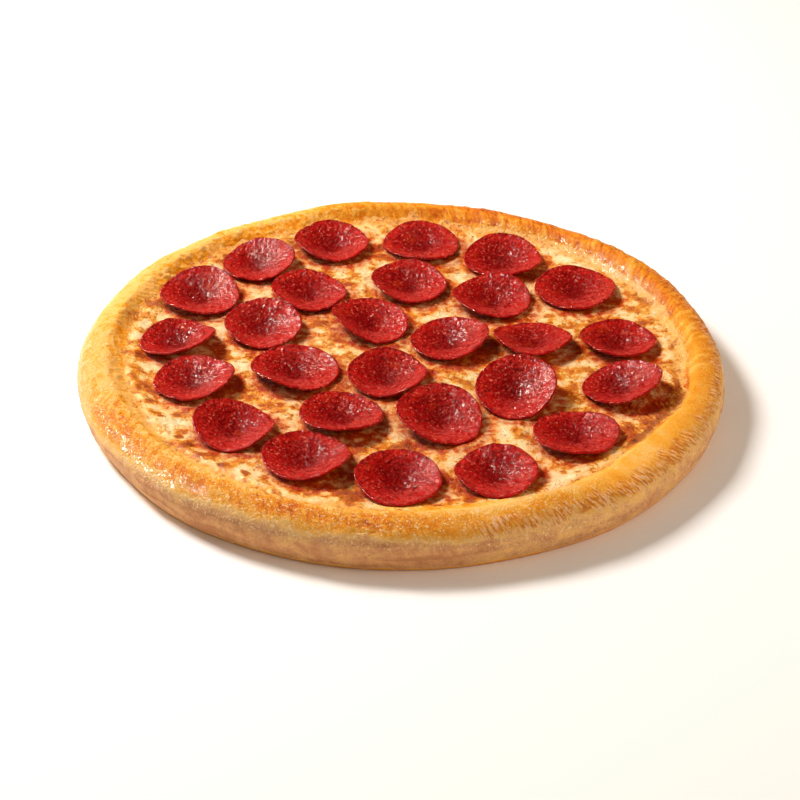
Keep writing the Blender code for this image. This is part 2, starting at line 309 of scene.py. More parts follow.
# Smooth noise
HASH_AXES = (374761393, 668265263, 1103515245)
HASH_SEED = 974634777
HASH_MIX = 1274126177
HASH_MASK = 0xFFFFFFFF
NOISE_GAIN = 1.6


def waves(azimuth, terms):
    """The sum of waves of (lobes, size, phase), at an azimuth or an array of them."""
    return sum(size * np.cos(np.radians(lobes * azimuth + phase)) for lobes, size, phase in terms)


def felt(azimuth, centre, spread):
    """How much of a local feature of the rim is felt at an azimuth, from 0 to 1."""
    off = (azimuth - centre + 180) % 360 - 180
    return np.exp(-((off / spread) ** 2))


def dent(azimuth):
    return felt(azimuth, DENT_AZIMUTH, DENT_SPREAD)


def bulge(azimuth):
    return felt(azimuth, BULGE_AZIMUTH, BULGE_SPREAD)


def outline_radius(azimuth):
    return RIM_RADIUS + waves(azimuth, OUTLINE_WAVES)


def crest_height(azimuth):
    return CREST_HEIGHT + waves(azimuth, CREST_WAVES) - DENT_DROP * dent(azimuth)


def crest_radius(azimuth):
    return outline_radius(azimuth) - SHOULDER_WIDTH - BULGE_CREST_PUSH * bulge(azimuth)


def foot_radius(azimuth):
    """The radius of the rim's inner foot, where the cheese begins."""
    level = FOOT_RADIUS + waves(azimuth, FOOT_WAVES)
    return level + DENT_PUSH * dent(azimuth) - BULGE_FOOT_PUSH * bulge(azimuth)


def outline_middle():
    """The middle of the outline's box, which is the origin."""
    azimuth = np.arange(120) * 3.0
    x = outline_radius(azimuth) * np.cos(np.radians(azimuth))
    y = outline_radius(azimuth) * np.sin(np.radians(azimuth))
    return (x.max() + x.min()) / 2, (y.max() + y.min()) / 2


def slope_height(down, crest):
    """The height of the rim's inner slope at a share of the way down from its crest."""
    fall = (1 - np.cos(np.pi * np.clip(down, 0, 1) ** SLOPE_POWER)) / 2
    return crest + (FOOT_HEIGHT - crest) * fall


def rim_section(azimuth):
    """The crust's section at each azimuth, as rows of (place, radius, height)."""
    outer = outline_radius(azimuth)
    crest_at = crest_radius(azimuth)
    crest = crest_height(azimuth)
    foot = foot_radius(azimuth)
    section = []
    for up in np.arange(SIDE_STEPS) / SIDE_STEPS:
        section.append((up, outer - BASE_INSET * (1 - up) ** 2, WAIST_HEIGHT * up + 0 * outer))
    for turn in np.linspace(0, 1, SHOULDER_STEPS + 1):
        angle = math.pi / 2 * turn
        radius = crest_at + (outer - crest_at) * math.cos(angle)
        height = WAIST_HEIGHT + (crest - WAIST_HEIGHT) * math.sin(angle)
        section.append((1 + turn, radius, height))
    for down in np.arange(1, SLOPE_STEPS + 1) / SLOPE_STEPS:
        radius = crest_at + (foot - crest_at) * down
        section.append((2 + down, radius, slope_height(down, crest)))
    section.append((4, foot, RECESS_FLOOR + 0 * foot))
    return section


def disc_points(rings):
    """A disc as rings of 6, 12, 18 ... points round a middle one: (share of radius, azimuth)."""
    points = [(0.0, 0.0)]
    for ring in range(1, rings + 1):
        points += [(ring / rings, 360 * step / (6 * ring)) for step in range(6 * ring)]
    return np.array(points)


def disc_faces(rings):
    """Near-equal triangles, facing up, between the points of disc_points."""
    faces = []
    inner_start, inner_count = 0, 1
    for ring in range(1, rings + 1):
        outer_start, outer_count = inner_start + inner_count, 6 * ring
        for side in range(6):
            for step in range(ring):
                first = outer_start + side * ring + step
                second = outer_start + (side * ring + step + 1) % outer_count
                inner = inner_start + (side * (ring - 1) + step) % inner_count
                faces.append((inner, first, second))
                if step < ring - 1:
                    beyond = inner_start + (side * (ring - 1) + step + 1) % inner_count
                    faces.append((inner, second, beyond))
        inner_start, inner_count = outer_start, outer_count
    return faces


def band_faces(lower, upper, count):
    """Faces between two rings of points that start at the indices lower and upper."""
    faces = []
    for step in range(count):
        after = (step + 1) % count
        faces.append((lower + step, lower + after, upper + after, upper + step))
    return faces


def slice_shape(row, share, azimuth):
    """The height of a slice's middle surface over its centre, at a share of its radius."""
    _, _, radius, rise, tilt, fold, curl = row
    bowl = rise * share**BOWL_POWER - well_depth(share)
    lean = radius * share * math.tan(math.radians(tilt[0])) * np.cos(np.radians(azimuth - tilt[1]))
    bend = fold[0] * share**2 * np.cos(np.radians(2 * (azimuth - fold[1])))
    lobes = curl[0] * share**3 * np.cos(np.radians(3 * (azimuth - curl[1])))
    return bowl + lean + bend + lobes


def well_depth(share):
    """How far a slice sags below its bowl at a share of its radius."""
    return WELL_DEPTH * np.exp(-((share / WELL_SPREAD) ** 2))


def ring_points(radius, turn, height):
    """Points round the middle, from their radius, their angle in radians and their height."""
    return np.stack((radius * np.cos(turn), radius * np.sin(turn), height), axis=1)


def flat_points(x, y):
    return np.stack((x, y, 0 * x), axis=1)


def slice_middle(row):
    turn = math.radians(row[1])
    return row[0] * math.cos(turn), row[0] * math.sin(turn)


def seat_height(row):
    """The height that puts the lowest point of a slice's bowl just into the cheese."""
    share, azimuth = disc_points(6).T
    lowest = (slice_shape(row, share, azimuth) + well_depth(share)).min()
    level = cheese_level(*slice_middle(row))
    return level - SLICE_SINK + SLICE_THICKNESS / 2 - lowest


def cheese_level(x, y):
    """The height of the cheese where nothing lies on it."""
    azimuth = np.degrees(np.arctan2(y, x))
    share = np.hypot(x, y) / foot_radius(azimuth)
    edge = np.clip((share - 1 + CHEESE_EDGE_BAND) / CHEESE_EDGE_BAND, 0, 1)
    return CHEESE_HEIGHT + waves(azimuth, CHEESE_WAVES) * share**2 + CHEESE_EDGE_RISE * edge**2


def heaps(x, y):
    """How far the cheese swells under the raised side of each tilted slice."""
    swell = np.zeros(x.shape)
    for row in SLICES:
        middle = slice_middle(row)
        radius, (tilt, tilt_azimuth) = row[2], row[4]
        top_x = middle[0] + HEAP_PLACE * radius * math.cos(math.radians(tilt_azimuth))
        top_y = middle[1] + HEAP_PLACE * radius * math.sin(math.radians(tilt_azimuth))
        away = np.hypot(x - top_x, y - top_y) / (HEAP_SPREAD * radius)
        swell += HEAP_SHARE * radius * math.tan(math.radians(tilt)) * np.exp(-(away**2))
    return swell


def under_slices(x, y):
    """The highest that the cheese may reach at each point, below every slice over it, and how
    far outside the nearest slice the point lies."""
    ceiling = np.full(x.shape, np.inf)
    outside = np.full(x.shape, np.inf)
    for row in SLICES:
        middle = slice_middle(row)
        away = np.hypot(x - middle[0], y - middle[1])
        azimuth = np.degrees(np.arctan2(y - middle[1], x - middle[0]))
        share = np.clip(away / row[2], 0, 1)
        dish = seat_height(row) + slice_shape(row, share, azimuth) - SLICE_THICKNESS / 2 - DISH_GAP
        beyond = away - row[2]
        dish = dish + DISH_WALL * np.clip(beyond, 0, None)
        ceiling = np.minimum(ceiling, dish)
        outside = np.minimum(outside, beyond)
    return ceiling, outside


def hashed(cell, seed):
    """A number from 0 to 1 for each whole-numbered cell, the same at each run."""
    mixed = (cell @ np.array(HASH_AXES)) & HASH_MASK
    mixed = (mixed + seed * HASH_SEED) & HASH_MASK
    mixed = ((mixed ^ (mixed >> 13)) * HASH_MIX) & HASH_MASK
    return (mixed ^ (mixed >> 16)) / HASH_MASK


def noise(points, size, seed):
    """Smooth noise from about -1 to 1, in lumps of about size mm."""
    scaled = points / size
    cell = np.floor(scaled).astype(np.int64)
    part = scaled - cell
    fade = part**3 * (part * (part * 6 - 15) + 10)
    total = np.zeros(len(points))
    for corner in itertools.product((0, 1), repeat=3):
        weight = np.prod(np.where(corner, fade, 1 - fade), axis=1)
        at = cell + corner
        slope = np.stack([hashed(at, 3 * seed + axis) for axis in range(3)], axis=1) * 2 - 1
        total += weight * ((part - corner) * slope).sum(axis=1)
    return total * NOISE_GAIN


def layered(points, layers, seed):
    """The sum of noises of (lump size, height)."""
    return sum(high * noise(points, size, seed + at) for at, (size, high) in enumerate(layers))


def smooth(low, high, value):
    """0 below low and 1 above high, and smooth between them."""
    share = np.clip((value - low) / (high - low), 0, 1)
    return share * share * (3 - 2 * share)


def window(value, low, high, soft):
    """1 between low and high, fading to 0 over soft outside them."""
    return smooth(low - soft, low, value) * (1 - smooth(high, high + soft, value))


def sector(azimuth, start, end, soft):
    """1 from the azimuth start anticlockwise to end, fading to 0 over soft outside them."""
    half = (end - start) / 2
    off = np.abs((azimuth - start - half + 180) % 360 - 180)
    return 1 - smooth(half, half + soft, off)


def area(azimuth, place, start, end, fade, low, high, soft):
    """1 in an area of the crust's skin, fading to 0 outside it."""
    return sector(azimuth, start, end, fade) * window(place, low, high, soft)


def crease_lines(row, seed, azimuth, place, over):
    """One kind of crease at each point, in mm: below 0 in a groove and above 0 on a ridge."""
    start, end, low, high, along, across, slant, depth = row
    slanted = rim_arc(azimuth, start, end) + slant * over
    flat = flat_points(slanted, over)
    sway = noise(flat, 16.0, seed + 50)
    shape = flat_points((slanted + 3 * sway) / along, (over + 2 * sway) / across)
    lines = noise(shape, 1.0, seed)
    lines -= 0.5 * np.exp(-((lines / 0.2) ** 2)) - 0.2
    uneven = 0.7 + 0.6 * noise(flat, 19.0, seed + 90)
    return depth * lines * uneven * window(place, low, high, 0.18) * sector(azimuth, start, end, 12)


def pleat_lines(row, seed, azimuth, place, over):
    """A row of even folds at each point, in mm: below 0 between the folds."""
    start, end, low, high, spacing, slant, depth = row
    slanted = rim_arc(azimuth, start, end) + slant * over
    flat = flat_points(slanted, over)
    sway = 0.9 * spacing * noise(flat, 7.0, seed)
    fold = np.sin(2 * math.pi * (slanted + sway) / spacing) + 0.4 * noise(flat, 1.6, seed + 4)
    ragged = place + 0.22 * noise(flat, 3.0, seed + 1)
    uneven = np.clip(0.75 + 1.1 * noise(flat, 11.0, seed + 2), 0, 1.3)
    return depth * fold * uneven * window(ragged, low, high, 0.12) * sector(azimuth, start, end, 8)


def rim_arc(azimuth, start, end):
    """The distance round the rim, whose seam lies opposite the middle of start and end."""
    return np.radians((azimuth - (start + end) / 2 + 180) % 360) * RIM_RADIUS


def make_crust(material, origin):
    """The crust: its section carried round the pizza, with lumps and creases in its skin."""
    azimuths = np.arange(CRUST_STEPS) * 360 / CRUST_STEPS
    section = rim_section(azimuths)
    levels = len(section)
    radius = np.array([row[1] for row in section])
    height = np.array([row[2] for row in section])
    out = np.gradient(height, axis=0)
    up = -np.gradient(radius, axis=0)
    length = np.hypot(out, up)
    out, up = out / length, up / length
    steps = np.hypot(np.diff(radius, axis=0), np.diff(height, axis=0))
    over = np.concatenate((np.zeros((1, CRUST_STEPS)), np.cumsum(steps, axis=0))).ravel()
    place = np.repeat([row[0] for row in section], CRUST_STEPS).astype(float)
    azimuth = np.tile(azimuths, levels)
    radius, height, out, up = radius.ravel(), height.ravel(), out.ravel(), up.ravel()
    turn = np.radians(azimuth)
    points = ring_points(radius, turn, height)

    folds = sum(
        crease_lines(row, 100 + 7 * number, azimuth, place, over)
        for number, row in enumerate(CREASES)
    )
    pleats = sum(
        pleat_lines(row, 300 + 7 * number, azimuth, place, over)
        for number, row in enumerate(PLEATS)
    )
    proud = layered(points, LUMPS, 10) + folds + pleats
    proud *= smooth(0.0, 0.25, place) * (1 - smooth(2.95, 3.1, place))
    radius = radius + out * proud
    height = height + up * proud
    moved = ring_points(radius, turn, height)
    moved = np.concatenate((moved, [(0, 0, 0), (0, 0, RECESS_FLOOR)]))
    piece = add_piece("crust_skin", moved - origin, crust_faces(levels), material)
    set_crust_values(piece, points, azimuth, place, over, folds + 1.2 * pleats)
    finish_piece(piece, "crust")


def crust_faces(levels):
    """The faces between the section's levels, under the base and on the recess's floor."""
    faces = []
    for level in range(levels - 1):
        faces += band_faces(level * CRUST_STEPS, (level + 1) * CRUST_STEPS, CRUST_STEPS)
    last, base = (levels - 1) * CRUST_STEPS, levels * CRUST_STEPS
    for step in range(CRUST_STEPS):
        after = (step + 1) % CRUST_STEPS
        faces.append((base, after, step))
        faces.append((base + 1, last + step, last + after))
    return faces


def set_crust_values(piece, points, azimuth, place, over, folds):
    """Gives the crust's points what its material reads."""
    bake, least = crust_bake(points, azimuth, place, folds)
    # Each ends with its values in the middle of the base and of the recess's floor
    for name, values, middles in (
        ("bake", bake, (BASE_BAKE, RECESS_BAKE)),
        ("least", least, (0.0, 0.0)),
        ("glaze", crust_glaze(points, azimuth, place), (0.0, 0.0)),
        ("grain", crust_grain(azimuth, place), (BASE_GRAIN, 0.0)),
        ("streak", crust_streak(azimuth, place), (0.0, 0.0)),
        ("pleat_highlights_and_shade", crust_pleat_highlights_and_shade(points, azimuth, place), (0.0, 0.0)),
    ):
        set_values(piece, name, np.append(values, middles))
    turned = np.radians(azimuth) + FLOW_SLANT * over / RIM_RADIUS
    flow = ring_points(RIM_RADIUS, turned, over)
    set_values(piece, "flow", np.concatenate((flow, np.zeros((2, 3)))))


def crust_bake(points, azimuth, place, folds):
    """How browned the crust is, where 0 is pale dough, 0.5 golden and 1 brown, and the least
    that its streaks may leave of it."""
    ragged = 0.06 * noise(points, 12.0, 31) + 0.03 * noise(points, 4.0, 32)
    side = SIDE_BAKE + 0.10 * noise(points, 13.0, 33) + 0.06 * noise(points, 4.0, 36)
    # Painted light: the side is lighter at the right of the front
    side += 0.06 * sector(azimuth, *PAINTED_LIGHT_SIDE)
    edge = SKIN_EDGE - BACK_EDGE_DROP * sector(azimuth, *BACK)
    skin = smooth(edge - 0.32, edge + 0.28, place + 1.6 * ragged)
    top = TOP_BAKE + 0.12 * noise(points, 30.0, 34) + 0.10 * noise(points, 8.0, 35)
    # Some of these areas paint shade in the dent and light on the inner slope at the left
    top += sum(amount * area(azimuth, place, *edges) for amount, edges in BROWNING_AND_PAINTED_LIGHT_AREAS)
    # The folds' grooves are darker and their ridges paler: painted shade in the creases
    bake = side + (top - side) * skin - (0.25 + 0.3 * skin) * folds
    # The bottom edge is browned as a pan-baked base is, and its darkening also paints the shade
    # where the crust meets the floor
    bake += 0.45 * (1 - smooth(0.0, 0.22, place + 0.8 * ragged))
    return bake, LEAST_TOP_BAKE * skin


def crust_streak(azimuth, place):
    """How strongly the crust's skin is streaked, from 0 to 1."""
    ridge = area(azimuth, place, *SMOOTH_RIDGE)
    return (1 - 0.75 * ridge) * (0.15 + 0.85 * smooth(1.2, 1.6, place))


def crust_glaze(points, azimuth, place):
    """How glossy the crust's skin is, from 0 to 1."""
    ragged = place + 0.15 * noise(points, 6.0, 43)
    shoulder = (1 - LEAST_GLAZE) * area(azimuth, ragged, *GLAZED_SHOULDER)
    return LEAST_GLAZE + shoulder + SLOPE_GLAZE * area(azimuth, ragged, *GLAZED_SLOPE)


def crust_pleat_highlights_and_shade(points, azimuth, place):
    """How much of the painted highlights and shade on the pleats shows, from 0 to 1."""
    ragged = place + 0.14 * noise(points, 5.0, 41)
    uneven = np.clip(0.9 + 1.2 * noise(points, 9.0, 42), 0, 1)
    return uneven * area(azimuth, ragged, *PLEAT_HIGHLIGHTS_AND_SHADE)


def crust_grain(azimuth, place):
    """How grainy the crust's skin is, from 0 to 1."""
    added = sum(amount * area(azimuth, place, *edges) for amount, edges in GRAINY_AREAS)
    return np.clip(LEAST_GRAIN + added, 0, 1)


def make_cheese(material, origin):
    """The cheese: a lumpy sheet, dished under each slice, that runs thin and ragged up the rim."""
    discs = disc_points(CHEESE_RINGS)
    azimuth = discs[:, 1]
    turn = np.radians(azimuth)
    foot = foot_radius(azimuth)
    radius = discs[:, 0] * (foot + CHEESE_MARGIN)
    past_foot = radius - foot
    x, y = radius * np.cos(turn), radius * np.sin(turn)
    flat = flat_points(x, y)

    ceiling, outside = under_slices(x, y)
    lumps = layered(flat, CHEESE_LUMPS, 60)
    rise, blister_tops = blisters_at(x, y)
    ribs = cheese_ribs(flat, azimuth, radius)
    fillet = FILLET + LEFT_FILLET * sector(azimuth, 120, 230, 20)
    inside = cheese_level(x, y) + heaps(x, y) + fillet * smooth(-9.0, 0.0, past_foot)
    inside += lumps * (0.6 + 0.4 * smooth(0, 3, outside)) + rise + ribs
    at_foot = cheese_level(foot * np.cos(turn), foot * np.sin(turn)) - FOOT_HEIGHT
    reach = CHEESE_REACH + CHEESE_REACH_WAVE * noise(flat, 11.0, 71) + 1.4 * noise(flat, 3.5, 72)
    beyond = np.clip(past_foot, 0, None) / np.clip(reach, CHEESE_REACH_LEAST, None)
    crest_at = crest_radius(azimuth)
    slope = slope_height((radius - crest_at) / (foot - crest_at), crest_height(azimuth))
    thick = at_foot + fillet + 0.4 * lumps + ribs
    edge = thick * np.clip(1 - beyond, 0, 1) ** THIN_POWER
    thin = np.where(beyond < 1, edge, DIVE * (1 - beyond))
    blend = smooth(-3.0, 0.0, past_foot)
    top = inside * (1 - blend) + (slope + thin) * blend
    top = np.minimum(top, ceiling)

    points = np.stack((x, y, top), axis=1)
    low = points[-6 * CHEESE_RINGS:].copy()
    low[:, :2] *= SHEET_TAPER
    low[:, 2] = RECESS_FLOOR + GAP
    points = np.concatenate((points, low, [(0, 0, RECESS_FLOOR + GAP)]))
    piece = add_piece("cheese_melt", points - origin, cheese_faces(len(top)), material)
    # Between the ribs the cheese is darker and on them paler: painted shade
    brown = cheese_browning(flat, lumps, blister_tops, azimuth, past_foot) - 0.5 * ribs
    set_cheese_values(piece, flat, brown, past_foot)
    finish_piece(piece, "cheese")


def cheese_faces(size):
    """The faces of the cheese's top, which has size points, of its edge and of its underside."""
    count = 6 * CHEESE_RINGS
    faces = disc_faces(CHEESE_RINGS) + band_faces(size, size - count, count)
    for step in range(count):
        faces.append((size + count, size + (step + 1) % count, size + step))
    return faces


def set_cheese_values(piece, flat, brown, past_foot):
    """Gives the cheese's points what its material reads, and 0 to the hidden ones."""
    # The stains are shifted toward the front right, where the slices' painted shadows fall
    _, shifted = under_slices(flat[:, 0] - STAIN_AND_SHADOW_SHIFT[0], flat[:, 1] - STAIN_AND_SHADOW_SHIFT[1])
    stain_and_shadow = np.exp(-((np.clip(shifted, 0, None) / STAIN_AND_SHADOW_REACH) ** 2))
    stain_and_shadow *= 1 - smooth(-6.0, 1.0, past_foot)
    film = smooth(-2.0, 4.0, past_foot + 3.0 * noise(flat, 5.0, 83))
    hidden = np.zeros(6 * CHEESE_RINGS + 1)
    for name, values in (("brown", brown), ("stain_and_shadow", stain_and_shadow), ("rim", film)):
        set_values(piece, name, np.append(values, hidden))


def cheese_ribs(flat, azimuth, radius):
    """The height of the ribs in the cheese's edge, where the crust is dented."""
    start, end, inner, outer, spacing, height = RIBS
    arc = rim_arc(azimuth, start, end) * radius / RIM_RADIUS + 0.25 * radius
    fold = np.sin(2 * math.pi * (arc + spacing * noise(flat, 7.0, 75)) / spacing)
    uneven = np.clip(0.7 + 1.2 * noise(flat, 9.0, 76), 0, 1.3)
    return height * fold * uneven * window(radius, inner, outer, 5) * sector(azimuth, start, end, 5)


def patches_at(x, y):
    """The browning of the named patches at each point."""
    total = np.zeros(x.shape)
    for patch_x, patch_y, half, amount in PATCHES:
        away = np.hypot(x - patch_x, y - patch_y) / half
        total += amount * np.exp(-(away**2))
    return total


def blisters_at(x, y):
    """How far the blisters rise at each point, and how near their tops it is, from 0 to 1."""
    rise = np.zeros(x.shape)
    ragged = 0.55 * noise(flat_points(x, y), 1.9, 77)
    for blister_x, blister_y, radius in BLISTERS:
        away = np.hypot(x - blister_x, y - blister_y) / radius + ragged
        rise = np.maximum(rise, np.sqrt(np.clip(1 - away**2, 0, 1)) * BLISTER_RISE * radius)
    return rise, np.clip(rise / 0.5, 0, 1)


def cheese_browning(flat, lumps, blister_tops, azimuth, past_foot):
    """How browned the cheese is, with painted shade in the dent: 0 is cream, 0.5 golden and 1 dark
    brown.
    """
    amount = 0.34 + 0.20 * noise(flat, 24.0, 81) + 0.26 * noise(flat, 9.0, 82) + 0.10 * lumps
    amount += 0.5 * patches_at(flat[:, 0], flat[:, 1]) + 0.5 * blister_tops
    # In the dent the cheese is darker, and darkest in a line at the crust's foot: painted shade
    dent_shade = 0.16 * smooth(-14.0, -6.0, past_foot) + 0.4 * window(past_foot, -0.5, 1.0, 1.5)
    return amount + sector(azimuth, *SHADED_DENT) * dent_shade


def slice_surface(number, row, share, azimuth):
    """Points of a slice's middle surface, round the slice's own middle."""
    seed = slice_seed(number)
    turn = np.radians(azimuth)
    ring = ring_points(1, turn, 0 * turn)
    uneven = noise(ring, 0.55, seed) + 0.6 * noise(ring, 0.25, seed + 1)
    uneven *= SLICE_OUTLINE_WAVE
    for at, size in CORNERS[number - 1]:
        corner = felt(azimuth, at, CORNER_SPREAD) - CORNER_DRAW
        uneven += CORNER_STRETCH * size * corner
    crinkle = noise(ring, 0.35, seed + 2) + 0.6 * noise(ring, 0.16, seed + 3)
    crinkle *= SLICE_RIM_WAVE * share**5
    reach = (row[2] - EDGE_HALF) * share * (1 + uneven * share**2)
    height = slice_shape(row, share * (row[2] - EDGE_HALF) / row[2], azimuth) + crinkle
    return ring_points(reach, turn, height)


def slice_seed(number):
    return 500 + 20 * number


def slice_directions(number, row, share, azimuth):
    """The direction away from a slice's middle surface, and the one outward along it."""
    step, turn_step = 0.02, 2
    outward = slice_surface(number, row, share + step, azimuth)
    outward -= slice_surface(number, row, np.clip(share - step, 0, None), azimuth)
    ringed = np.maximum(share, step)
    around = slice_surface(number, row, ringed, azimuth + turn_step)
    around -= slice_surface(number, row, ringed, azimuth - turn_step)
    normal = np.cross(outward, around)
    normal /= np.linalg.norm(normal, axis=1)[:, None]
    outward /= np.linalg.norm(outward, axis=1)[:, None]
    return normal, outward


def slice_faces(size):
    """The faces of a slice's top, which has size points, of its edge and of its underside."""
    count = 6 * SLICE_RINGS
    faces = disc_faces(SLICE_RINGS)
    below = size + (EDGE_STEPS - 1) * count
    rings = [size + edge * count for edge in range(-1, EDGE_STEPS - 1)]
    rings.append(below + size - count)
    for upper, lower in itertools.pairwise(rings):
        faces += band_faces(lower, upper, count)
    return faces + [(below + a, below + c, below + b) for a, b, c in disc_faces(SLICE_RINGS)]


def make_slice(number, row, material, origin):
    """A pepperoni slice: a thin cupped disc with a round edge, an uneven rim and a pebbled skin."""
    share, azimuth = disc_points(SLICE_RINGS).T
    place = slice_surface(number, row, share, azimuth) + (*slice_middle(row), seat_height(row))
    normal, outward = slice_directions(number, row, share, azimuth)
    half = SLICE_THICKNESS / 2 * (1 - EDGE_TAPER * share**5)
    seed = slice_seed(number)
    skin = layered(place, SLICE_LUMPS, seed + 5)
    under = layered(place, SLICE_LUMPS, seed + 9)
    skin = skin * (0.55 + 0.45 * (1 - share**4))

    points = [place + normal * (half + skin)[:, None]]
    rim_share = [share]
    rim = slice(-6 * SLICE_RINGS, None)
    for edge in range(1, EDGE_STEPS):
        angle = math.pi * edge / EDGE_STEPS
        lift = EDGE_HALF * math.cos(angle) + skin[rim] * (1 + math.cos(angle)) / 2
        reach = EDGE_HALF * math.sin(angle) * (1 + 0.3 * skin[rim])
        points.append(place[rim] + normal[rim] * lift[:, None] + outward[rim] * reach[:, None])
        rim_share.append(np.full(6 * SLICE_RINGS, 1.0 + edge / EDGE_STEPS))
    points.append(place - normal * (half + 0.3 * under)[:, None])
    rim_share.append(np.full(len(share), 2.0))
    points = np.concatenate(points)

    name = f"pepperoni_slice_{number:02d}"
    piece = add_piece(name, points - origin, slice_faces(len(share)), material)
    set_values(piece, "share", np.concatenate(rim_share))
    under_side = np.zeros(len(points) - len(share))
    # Painted shade: a darker red on the back wall of each cup, on the same side of every slice
    painted_shade = SHADE_SHARE * felt(azimuth, SHADE_AZIMUTH, SHADE_SPREAD)
    set_values(piece, "painted_shade", np.append(painted_shade * window(share, 0.30, 0.72, 0.22), under_side))
    # Painted sheen: a pinker red on the front right of each cup, on the same side of every slice
    painted_sheen = SHEEN_SHARE * felt(azimuth, SHEEN_AZIMUTH, SHEEN_SPREAD)
    set_values(piece, "painted_sheen", np.append(painted_sheen * window(share, 0.35, 0.9, 0.2), under_side))
    finish_piece(piece, f"pepperoni_{number:02d}")


def add_piece(name, points, faces, material):
    """A named object from points in millimetres, shaded smooth."""
    mesh = bpy.data.meshes.new(name)
    mesh.from_pydata((points * MM).tolist(), [], faces)
    mesh.materials.append(material)
    mesh.shade_smooth()
    piece = bpy.data.objects.new(name, mesh)
    bpy.context.scene.collection.objects.link(piece)
    return piece


def set_values(piece, name, values):
    """Gives each point of a piece a number or a vector that its material reads."""
    values = np.asarray(values, np.float32)
    kind, field = ("FLOAT", "value") if values.ndim == 1 else ("FLOAT_VECTOR", "vector")
    attribute = piece.data.attributes.new(name, kind, "POINT")
    attribute.data.foreach_set(field, values.ravel())


def finish_piece(piece, node):
    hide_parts(node)
    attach(piece, "root")


class Nodes:
    """A material's nodes, made one by one, whose inputs are numbers, colours or other outputs."""

    def __init__(self, name):
        self.material = bpy.data.materials.new(name)
        self.material.use_nodes = True
        self.tree = self.material.node_tree
        self.shader = self.tree.nodes["Principled BSDF"]
        coordinates = self.tree.nodes.new("ShaderNodeTexCoord")
        self.place = coordinates.outputs["Object"]

    def add(self, kind, inputs, output=0, **settings):
        made = self.tree.nodes.new("ShaderNode" + kind)
        for name, value in settings.items():
            setattr(made, name, value)
        for name, value in inputs.items():
            self.put(made.inputs[name], value)
        return made.outputs[output]

    def put(self, socket, value):
        if isinstance(value, bpy.types.NodeSocket):
            self.tree.links.new(value, socket)
        else:
            socket.default_value = value

    def value(self, name):
        """A number that set_values gave the piece."""
        return self.add("Attribute", {}, "Fac", attribute_name=name)

    def noise(self, size, detail=2.0, roughness=0.5):
        """Noise from 0 to 1 in lumps of about size mm."""
        inputs = {"Vector": self.place, "Scale": 1 / (size * MM)}
        return self.add("TexNoise", inputs | {"Detail": detail, "Roughness": roughness})

    def strokes(self, along, across, detail, roughness):
        """Noise from 0 to 1 in strokes of about along mm round the rim and across mm over it."""
        flow = self.add("Attribute", {}, "Vector", attribute_name="flow")
        scale = (1 / along, 1 / along, 1 / across)
        place = self.add("VectorMath", {0: flow, 1: scale}, operation="MULTIPLY")
        inputs = {"Vector": place, "Scale": 1.0, "Detail": detail, "Roughness": roughness}
        return self.add("TexNoise", inputs)

    def pebbles(self, size):
        """Rounded pebbles of about size mm: 1 at their middles and near 0 between them."""
        inputs = {"Vector": self.place, "Scale": 1 / (size * MM)}
        away = self.add("TexVoronoi", inputs, "Distance")
        return self.math("SUBTRACT", 1.0, self.math("POWER", away, 2.0))

    def math(self, operation, first, second):
        return self.add("Math", {0: first, 1: second}, operation=operation)

    def times(self, first, second):
        return self.math("MULTIPLY", first, second)

    def sum(self, *terms):
        """The sum of terms, each an output or (output, times, minus)."""
        total = 0.0
        for term in terms:
            if isinstance(term, tuple):
                source, times, minus = term
                term = self.times(self.math("SUBTRACT", source, minus), times)
            total = self.math("ADD", term, total)
        return total

    def between(self, value, low, high, start=0.0, end=1.0):
        """The value from low to high, turned into start to end and held there outside."""
        inputs = {"Value": value, "From Min": low, "From Max": high, "To Min": start, "To Max": end}
        return self.add("MapRange", inputs, interpolation_type="SMOOTHSTEP")

    def mix(self, share, first, second, blend="MIX"):
        """A mix of two colours, each an output or its 0 to 255 on screen."""
        made = self.tree.nodes.new("ShaderNodeMix")
        made.data_type = "RGBA"
        made.blend_type = blend
        self.put(made.inputs[0], share)
        for socket, colour in ((made.inputs[6], first), (made.inputs[7], second)):
            self.put(socket, srgb(*colour) if isinstance(colour, tuple) else colour)
        return made.outputs[2]

    def ramp(self, value, *stops):
        """A colour for each value, from stops of (value, colour)."""
        made = self.tree.nodes.new("ShaderNodeValToRGB")
        ramp = made.color_ramp
        while len(ramp.elements) < len(stops):
            ramp.elements.new(0.5)
        for element, (at, colour) in zip(ramp.elements, stops):
            element.position = at
            element.color = srgb(*colour)
        self.put(made.inputs["Fac"], value)
        return made.outputs["Color"]

    def bump(self, height):
        """A bump from a height in mm."""
        return self.add("Bump", {"Height": height, "Distance": MM, "Strength": 1.0})

    def set(self, **inputs):
        for name, value in inputs.items():
            self.put(self.shader.inputs[name.replace("_", " ")], value)


def srgb(*screen):
    """A colour given as 0 to 255 on screen, as the shader takes it."""
    shares = [part / 255 for part in screen]
    linear = [s / 12.92 if s < 0.04045 else ((s + 0.055) / 1.055) ** 2.4 for s in shares]
    return (*linear, 1.0)


